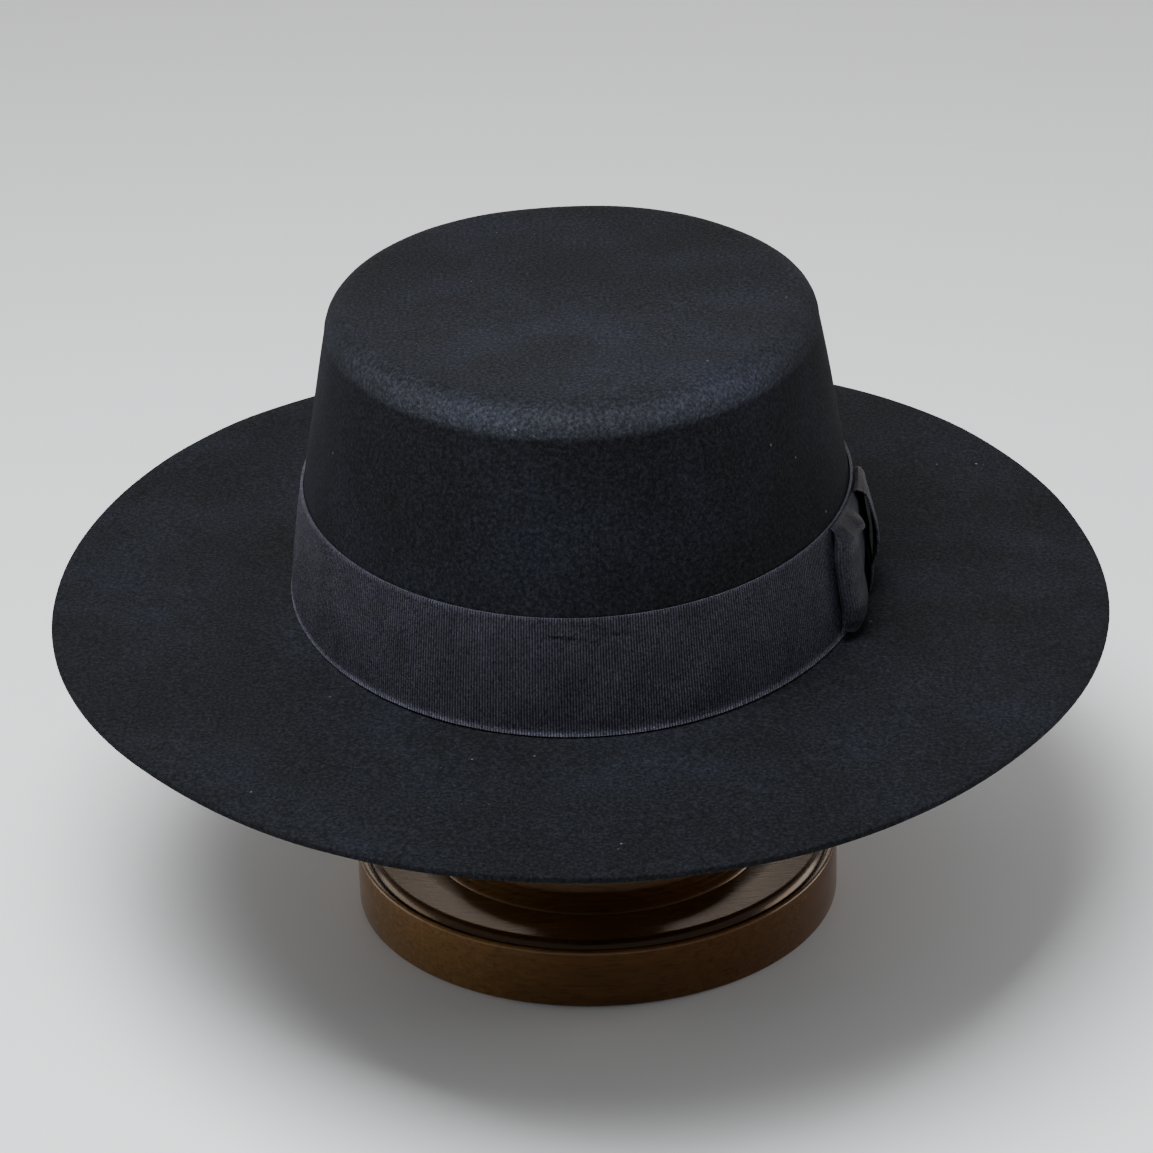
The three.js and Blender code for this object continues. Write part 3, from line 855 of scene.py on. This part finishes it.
# %% The rest that carries the crown
REST = (rest_high[0] - rest_low[0]) / 2 / MM
REST_FOOT = rest_low[2] / MM
REST_TOP = rest_high[2] / MM
REST_SOCKET_TOP = REST_FOOT + SOCKET_DEPTH + GAP
REST_LIP = ((-2.4, 0), (-3, 0.5))
REST_BOWL = ((0.5, 1.6), (0.7, 3.6), (0.86, 6.4), (0.95, 9.6), (1, 13.4))
REST_EDGE = 7
REST_FLAT = 0.5
rest_profile = [(0, REST_SOCKET_TOP), (SOCKET, REST_SOCKET_TOP), (SOCKET, REST_FOOT)]
rest_profile += inward(POST, REST_FOOT, REST_LIP)
rest_profile += [(REST * share, REST_FOOT + up) for share, up in REST_BOWL]
rest_profile += round_corner(REST - REST_EDGE, REST_TOP - REST_EDGE, REST_EDGE, 0, 90, 8)
rest_profile += [(REST * REST_FLAT, REST_TOP), (0, REST_TOP)]
turned_rest = turn_wood("turned_rest", rest_profile, "stand_rest")

# %% [markdown]
# ## Bricks for the materials
# Every finish here is made of the same few nodes: noise, a colour ramp, a soft range, two ways
# to multiply and a bump. A picture file would be simpler to use, but it would show its edges and
# stretch on the brim. Noise in object space keeps the same size on every piece.

# %% Node helpers
def new_material(name):
    """A new node material, with its parts at hand and the object's own coordinates."""
    material = bpy.data.materials.new(name)
    material.use_nodes = True
    tree = material.node_tree
    shader = tree.nodes["Principled BSDF"]
    place = tree.nodes.new("ShaderNodeTexCoord")
    return material, tree, shader, place.outputs["Object"]


def set_inputs(node, values):
    """Sets sockets of a node, each by its name."""
    for name, value in values.items():
        node.inputs[name].default_value = value


def noise(tree, place, scale, detail, roughness=0.55):
    """Cloudy noise. A larger scale gives finer clouds."""
    node = tree.nodes.new("ShaderNodeTexNoise")
    set_inputs(node, {"Scale": scale, "Detail": detail, "Roughness": roughness})
    tree.links.new(place, node.inputs["Vector"])
    return node.outputs["Fac"]


def ramp(tree, value, stops):
    """Colours at places along a value, as (place, (red, green, blue))."""
    node = tree.nodes.new("ShaderNodeValToRGB")
    elements = node.color_ramp.elements
    while len(elements) < len(stops):
        elements.new(0.5)
    for element, (place, colour) in zip(elements, stops):
        element.position = place
        element.color = (*colour, 1)
    tree.links.new(value, node.inputs["Fac"])
    return node.outputs["Color"]


def blend_colours(tree, kind, amount, first, second):
    """Mixes two colours. The amount is a number or a socket."""
    node = tree.nodes.new("ShaderNodeMix")
    node.data_type = "RGBA"
    node.blend_type = kind
    if isinstance(amount, (int, float)):
        node.inputs["Factor"].default_value = amount
    else:
        tree.links.new(amount, node.inputs["Factor"])
    tree.links.new(first, node.inputs[6])
    tree.links.new(second, node.inputs[7])
    return node.outputs[2]


def bump(tree, height, distance, strength, under=None):
    """Relief from a height, laid over another relief if there is one."""
    node = tree.nodes.new("ShaderNodeBump")
    set_inputs(node, {"Distance": distance, "Strength": strength})
    tree.links.new(height, node.inputs["Height"])
    if under:
        tree.links.new(under, node.inputs["Normal"])
    return node.outputs["Normal"]


def ranged(tree, value, start, end):
    """Soft 0 to 1 between two places of a value."""
    node = tree.nodes.new("ShaderNodeMapRange")
    node.interpolation_type = "SMOOTHSTEP"
    set_inputs(node, {"From Min": start, "From Max": end})
    tree.links.new(value, node.inputs["Value"])
    return node.outputs["Result"]


def times(tree, first, second):
    """Product of two masks."""
    node = tree.nodes.new("ShaderNodeMath")
    node.operation = "MULTIPLY"
    tree.links.new(first, node.inputs[0])
    tree.links.new(second, node.inputs[1])
    return node.outputs["Value"]


def plain_colour(tree, colour):
    """One even colour as a socket."""
    node = tree.nodes.new("ShaderNodeRGB")
    node.outputs["Color"].default_value = (*colour, 1)
    return node.outputs["Color"]


def multiply(tree, tone, other, amount=1.0):
    """Multiplies one colour into another."""
    return blend_colours(tree, "MULTIPLY", amount, tone, other)


def paint_light_and_shade(tree, tone, colour, mask):
    """Multiplies one even colour in where a mask is white, to paint light and shade."""
    return multiply(tree, tone, plain_colour(tree, colour), mask)


# %% [markdown]
# ## Black felt
# Fur felt is a mat of fine hairs. It is very dark, with a soft bluish shine where light grazes
# the nap, a fine mottled grain and a few pale specks of lint. Hair particles would be nearest to
# the real thing, but far too heavy for a library, so noise gives the grain, sheen the bluish shine
# and a cell pattern the lint. The flat top is painted lighter, as painted light from above, and a
# painted highlight runs along its front edge.

# %% Felt
GRAIN = {"scale": 980, "detail": 4, "roughness": 0.7}
HAIRS = {"scale": 2600, "detail": 2, "roughness": 0.6}
CLOUD = {"scale": 26, "detail": 4, "roughness": 0.6}
LINT_CELLS = 190
LINT_GROUPS = {"scale": 75, "detail": 2}
GRAIN_TONES = (
    (0.34, (0.0048, 0.005, 0.0056)), (0.5, (0.0088, 0.0093, 0.0107)),
    (0.66, (0.0158, 0.017, 0.0205)),
)
HAIR_TIPS = ((0.3, (0.72, 0.72, 0.72)), (0.7, (1.2, 1.2, 1.22)))
CLOUD_TONES = (
    (0.36, (0.88, 0.86, 0.83)), (0.5, (0.96, 0.96, 0.95)), (0.66, (1.14, 1.16, 1.28)),
)
LINT_SIZE = ((0.03, (1, 1, 1)), (0.09, (0, 0, 0)))
LINT_RARE = ((0.6, (0, 0, 0)), (0.7, (1, 1, 1)))
# Painted light on the flat top, and a painted highlight along its rounded front edge.
TOP_PAINTED_LIGHT = (1.35, 1.35, 1.38)
EDGE_PAINTED_HIGHLIGHT = (2.0, 2.03, 2.12)
LINT = (0.16, 0.17, 0.19)
FELT_SHEEN = (0.62, 0.7, 0.9, 1)
TOP_FADE = (CROWN_TOP - 9.9 * MM, CROWN_TOP - 7.3 * MM)
FORWARD_FADE = (60 * MM, -40 * MM)
ROUNDED_FADE = (CROWN_TOP + 0.6 * MM, CROWN_TOP - 3.9 * MM)
FRONT_FADE = (0, -85 * MM)


def black_felt():
    """Dark mottled felt with lint, a painted lighter top and a painted highlight on its front edge.
    """
    material, tree, shader, place = new_material("black_fur_felt")
    grain = noise(tree, place, **GRAIN)
    hairs = noise(tree, place, **HAIRS)
    cloud = noise(tree, place, **CLOUD)
    base = ramp(tree, grain, GRAIN_TONES)
    tips = ramp(tree, hairs, HAIR_TIPS)
    tone = multiply(tree, base, tips)
    drift = ramp(tree, cloud, CLOUD_TONES)
    tone = multiply(tree, tone, drift)
    axes = tree.nodes.new("ShaderNodeSeparateXYZ")
    tree.links.new(place, axes.inputs["Vector"])
    high = ranged(tree, axes.outputs["Z"], *TOP_FADE)
    # Painted light on the flat top, lighter towards the front.
    top_light_mask = times(tree, high, ranged(tree, axes.outputs["Y"], *FORWARD_FADE))
    tone = paint_light_and_shade(tree, tone, TOP_PAINTED_LIGHT, top_light_mask)
    # Painted highlight along the rounded front edge of the top.
    rounded = ranged(tree, axes.outputs["Z"], *ROUNDED_FADE)
    front = ranged(tree, axes.outputs["Y"], *FRONT_FADE)
    edge_highlight_mask = times(tree, times(tree, high, rounded), front)
    highlighted_tone = paint_light_and_shade(tree, tone, EDGE_PAINTED_HIGHLIGHT, edge_highlight_mask)
    lint_place = tree.nodes.new("ShaderNodeTexVoronoi")
    lint_place.inputs["Scale"].default_value = LINT_CELLS
    tree.links.new(place, lint_place.inputs["Vector"])
    lint = ramp(tree, lint_place.outputs["Distance"], LINT_SIZE)
    rare = ramp(tree, noise(tree, place, **LINT_GROUPS), LINT_RARE)
    speck = multiply(tree, lint, rare)
    colour = blend_colours(tree, "MIX", speck, highlighted_tone, plain_colour(tree, LINT))
    tree.links.new(colour, shader.inputs["Base Color"])
    set_inputs(shader, {"Roughness": 0.8, "Specular IOR Level": 0.025})
    set_inputs(shader, {"Sheen Weight": 0.006, "Sheen Roughness": 0.5, "Sheen Tint": FELT_SHEEN})
    fine = bump(tree, grain, 0.1 * MM, 0.7)
    tree.links.new(bump(tree, hairs, 0.12 * MM, 0.5, fine), shader.inputs["Normal"])
    return material


felt_material = black_felt()
print(felt_material.name, len(felt_material.node_tree.nodes), "nodes")

# %% [markdown]
# ## Black ribbon
# Grosgrain shines a little more than felt, and its threads have a fine fuzz. The ribs are real
# relief already, so the material only adds fuzz, a worn drift and the painted light and shade
# from the attribute that every ribbon piece carries. A striped texture would need a map of its
# own for each fold.

# %% Ribbon
FUZZ = {"scale": 1500, "detail": 3, "roughness": 0.65}
WORN = {"scale": 90, "detail": 3}
FUZZ_TONES = ((0.32, (0.0075, 0.0075, 0.009)), (0.68, (0.041, 0.041, 0.052)))
WORN_TONES = ((0.3, (0.78, 0.78, 0.8)), (0.7, (1.1, 1.1, 1.12)))
RIBBON_SHEEN = (0.7, 0.74, 0.9, 1)


def black_ribbon():
    """Black grosgrain that multiplies in the painted light and shade kept on its points."""
    material, tree, shader, place = new_material("black_grosgrain")
    fuzz = noise(tree, place, **FUZZ)
    worn = noise(tree, place, **WORN)
    base = ramp(tree, fuzz, FUZZ_TONES)
    drift = ramp(tree, worn, WORN_TONES)
    tone = multiply(tree, base, drift)
    # The painted light and shade kept on the points is multiplied into the colour.
    painted_light_attribute = tree.nodes.new("ShaderNodeAttribute")
    painted_light_attribute.attribute_name = "painted_light"
    lit = multiply(tree, tone, painted_light_attribute.outputs["Fac"])
    tree.links.new(lit, shader.inputs["Base Color"])
    set_inputs(shader, {"Roughness": 0.5, "Specular IOR Level": 0.06})
    set_inputs(shader, {"Sheen Weight": 0.01, "Sheen Roughness": 0.4, "Sheen Tint": RIBBON_SHEEN})
    tree.links.new(bump(tree, fuzz, 0.12 * MM, 0.6), shader.inputs["Normal"])
    return material


ribbon_material = black_ribbon()
print(ribbon_material.name, len(ribbon_material.node_tree.nodes), "nodes")

# %% [markdown]
# ## Stained and varnished wood
# The stand is a brown stained hardwood under clear varnish. The grain runs across the turned
# disc in one direction, so it is the same straight grain through the whole block: stretched
# noise for the fibres, and short dark dashes for the pores. The half at the picture's left is
# painted lighter and more golden, as painted light from that side, and the groove is painted
# dark, as painted shade. A picture of wood could be wrapped round the disc, but turned wood
# shows the grain of the block and not of the curve.

# %% Wood
FIBRE_STRETCH = (9, 90, 90)
FIBRE = {"scale": 6, "detail": 5, "roughness": 0.6}
PORE_STRETCH = (120, 1100, 1100)
PORES = {"scale": 1, "detail": 3, "roughness": 0.6}
BROAD = {"scale": 18, "detail": 3}
FIBRE_TONES = (
    (0.25, (0.05, 0.02, 0.0045)), (0.55, (0.066, 0.0275, 0.0065)), (0.8, (0.085, 0.037, 0.0095)),
)
PORE_TONES = ((0.36, (0.6, 0.56, 0.54)), (0.46, (1, 1, 1)))
BROAD_TONES = ((0.3, (0.8, 0.78, 0.78)), (0.7, (1.05, 1.05, 1.05)))
# Painted light: the picture's left half is lighter and more golden.
LEFT_PAINTED_LIGHT = (2.5, 3.2, 4.4)
LEFT_LIGHT_FADE = (10 * MM, -60 * MM)
# Painted shade in the groove near the rim.
GROOVE_PAINTED_SHADE = (0.25, 0.21, 0.2)
VARNISH = (1.0, 0.72, 0.5, 1)
GROOVE_SHADE_INSIDE = (70 * MM, 71.2 * MM)
GROOVE_SHADE_OUTSIDE = (74.2 * MM, 72.8 * MM)
GROOVE_SHADE_FLOOR = (16 * MM, 17.5 * MM)


def stretched(tree, place, scale):
    """The object's coordinates, stretched so that noise becomes fibres."""
    node = tree.nodes.new("ShaderNodeMapping")
    node.inputs["Scale"].default_value = scale
    tree.links.new(place, node.inputs["Vector"])
    return node.outputs["Vector"]


def vector_math(tree, operation, vector, other=(0, 0, 0)):
    """One step of arithmetic with a place."""
    node = tree.nodes.new("ShaderNodeVectorMath")
    node.operation = operation
    node.inputs[1].default_value = other
    tree.links.new(vector, node.inputs[0])
    return node.outputs


def brown_wood():
    """Brown wood with straight fibres, pores and a clear varnish."""
    material, tree, shader, place = new_material("varnished_brown_wood")
    fibre = noise(tree, stretched(tree, place, FIBRE_STRETCH), **FIBRE)
    pores = noise(tree, stretched(tree, place, PORE_STRETCH), **PORES)
    broad = noise(tree, place, **BROAD)
    base = ramp(tree, fibre, FIBRE_TONES)
    dashes = ramp(tree, pores, PORE_TONES)
    tone = multiply(tree, base, dashes, 0.8)
    drift = ramp(tree, broad, BROAD_TONES)
    tone = multiply(tree, tone, drift)
    axes = tree.nodes.new("ShaderNodeSeparateXYZ")
    tree.links.new(place, axes.inputs["Vector"])
    # Painted light on the picture's left half.
    left_light_mask = ranged(tree, axes.outputs["X"], *LEFT_LIGHT_FADE)
    tone = paint_light_and_shade(tree, tone, LEFT_PAINTED_LIGHT, left_light_mask)
    # Painted shade in the groove near the rim.
    centred = vector_math(tree, "SUBTRACT", place, (STAND_X, 0, 0))["Vector"]
    flat = vector_math(tree, "MULTIPLY", centred, (1, 1, 0))["Vector"]
    radius = vector_math(tree, "LENGTH", flat)["Value"]
    inside = ranged(tree, radius, *GROOVE_SHADE_INSIDE)
    outside = ranged(tree, radius, *GROOVE_SHADE_OUTSIDE)
    above = ranged(tree, axes.outputs["Z"], *GROOVE_SHADE_FLOOR)
    groove_shade_mask = times(tree, times(tree, inside, outside), above)
    tone = paint_light_and_shade(tree, tone, GROOVE_PAINTED_SHADE, groove_shade_mask)
    tree.links.new(tone, shader.inputs["Base Color"])
    set_inputs(shader, {"Roughness": 0.22, "Specular IOR Level": 0.46, "Specular Tint": VARNISH})
    tree.links.new(bump(tree, pores, 0.08 * MM, 0.3), shader.inputs["Normal"])
    return material


wood_material = brown_wood()
print(wood_material.name, len(wood_material.node_tree.nodes), "nodes")

# %% [markdown]
# ## Dress the pieces
# Each piece gets exactly one material, and the hat's four ribbon pieces share one. A material
# slot per face could do it too, but one per piece is easier to change later.


# %% One material for each piece
def dress(pieces, material):
    """Gives each piece this material and no other."""
    for piece in pieces:
        piece.data.materials.clear()
        piece.data.materials.append(material)
        print(piece.name, "wears", material.name)


dress([felt_hat], felt_material)
dress([ribbon_band, bow_loop, bow_tail, bow_knot], ribbon_material)
dress([turned_base, turned_post, turned_rest], wood_material)

# %% [markdown]
# ## Floor
# The floor is plain and pale, with a hardly visible drift in its tone. A curved studio sweep
# would hide the horizon, but the camera looks down and never sees one, so a plane is enough.

# %% Floor
FLOOR_SIZE = 8
FLOOR_TONES = ((0.3, (0.88, 0.875, 0.865)), (0.7, (0.9, 0.895, 0.885)))
deselect()
bpy.ops.mesh.primitive_plane_add(size=FLOOR_SIZE, location=(0, 0, 0))
floor = name_new("floor")
floor_material, tree, shader, place = new_material("pale_floor")
tint = ramp(tree, noise(tree, place, scale=3, detail=2), FLOOR_TONES)
tree.links.new(tint, shader.inputs["Base Color"])
shader.inputs["Roughness"].default_value = 0.7
floor.data.materials.append(floor_material)
print("floor is", FLOOR_SIZE, "m wide")

# %% [markdown]
# ## Light
# One large soft light hangs above, a little in front and left of the picture's middle, so that
# the flat top and the brim catch it and the wall under the edge stays dark. Low cards at both
# sides lift the dark sides, like white boards in a studio. The card behind shows only as a
# reflection, above all in the varnish: its diffuse light is off, so the floor doesn't brighten.
# A picture of a sky could light the scene too, but it would put its own patches there.


# %% Lights
def soft_light(name, place, aim, size, power, colour):
    """A rectangle of light that faces its aim."""
    light = bpy.data.lights.new(name, "AREA")
    light.shape = "RECTANGLE"
    light.size, light.size_y = size
    light.energy = power
    light.color = colour
    lamp = bpy.data.objects.new(name, light)
    bpy.context.collection.objects.link(lamp)
    lamp.location = place
    direction = lamp.location - Vector(aim)
    lamp.rotation_euler = direction.to_track_quat("Z", "Y").to_euler()
    print(name, power, "W")
    return lamp


soft_light("top_light", place=(-0.2, -0.28, 1.15), aim=(0, 0, 0.15), size=(0.8, 0.6),
           power=27, colour=(0.93, 0.96, 1.0))
soft_light("left_card", place=(-1.4, 0.3, 0.25), aim=(0, 0, 0.1), size=(1.0, 0.4),
           power=3.5, colour=(1.0, 0.95, 0.86))
soft_light("right_card", place=(1.4, 0.3, 0.25), aim=(0, 0, 0.1), size=(1.0, 0.4),
           power=6, colour=(1.0, 0.96, 0.9))
back_card = soft_light("back_card", place=(0, 1.7, 0.52), aim=(0, 0, 0.1), size=(2.6, 0.8),
                       power=12, colour=(1.0, 0.88, 0.76))
back_card.visible_diffuse = False

# %% The room's even light
ROOM_COLOUR = (0.92, 0.95, 1.0, 1)
ROOM_STRENGTH = 0.35
world = bpy.data.worlds.new("studio")
bpy.context.scene.world = world
world.use_nodes = True
background = world.node_tree.nodes["Background"]
set_inputs(background, {"Color": ROOM_COLOUR, "Strength": ROOM_STRENGTH})
print("room light", ROOM_STRENGTH)

# %% [markdown]
# ## Camera
# The camera repeats the view that the ovals of brim, band and top give: 25 degrees down, with a
# long lens and the camera held a little askew. It could be moved until the picture looks right,
# but a solved view lets the render be laid over the photo and compared.

# %% Camera
ELEVATION = math.radians(25.2)
ROLL = math.radians(-1.75)
DISTANCE = 1.075
FRAME_PIXELS = 1153
FOCAL_PIXELS = 3550
SENSOR = 36
TARGET = Vector((-0.9 * MM, 0, HAT_LEVEL + 0.7 * MM))
back = Vector((0, -math.cos(ELEVATION), math.sin(ELEVATION)))
level_right = Vector((1, 0, 0))
level_up = back.cross(level_right)
right = level_right * math.cos(ROLL) + level_up * math.sin(ROLL)
up = level_up * math.cos(ROLL) - level_right * math.sin(ROLL)
camera_data = bpy.data.cameras.new("photo_view")
camera_data.sensor_width = SENSOR
camera_data.lens = FOCAL_PIXELS / FRAME_PIXELS * SENSOR
camera = bpy.data.objects.new("photo_view", camera_data)
bpy.context.collection.objects.link(camera)
turn = Matrix((right, up, back)).transposed()
camera.matrix_world = Matrix.Translation(TARGET + back * DISTANCE) @ turn.to_4x4()
bpy.context.scene.camera = camera
print("lens", round(camera_data.lens, 1), "mm")
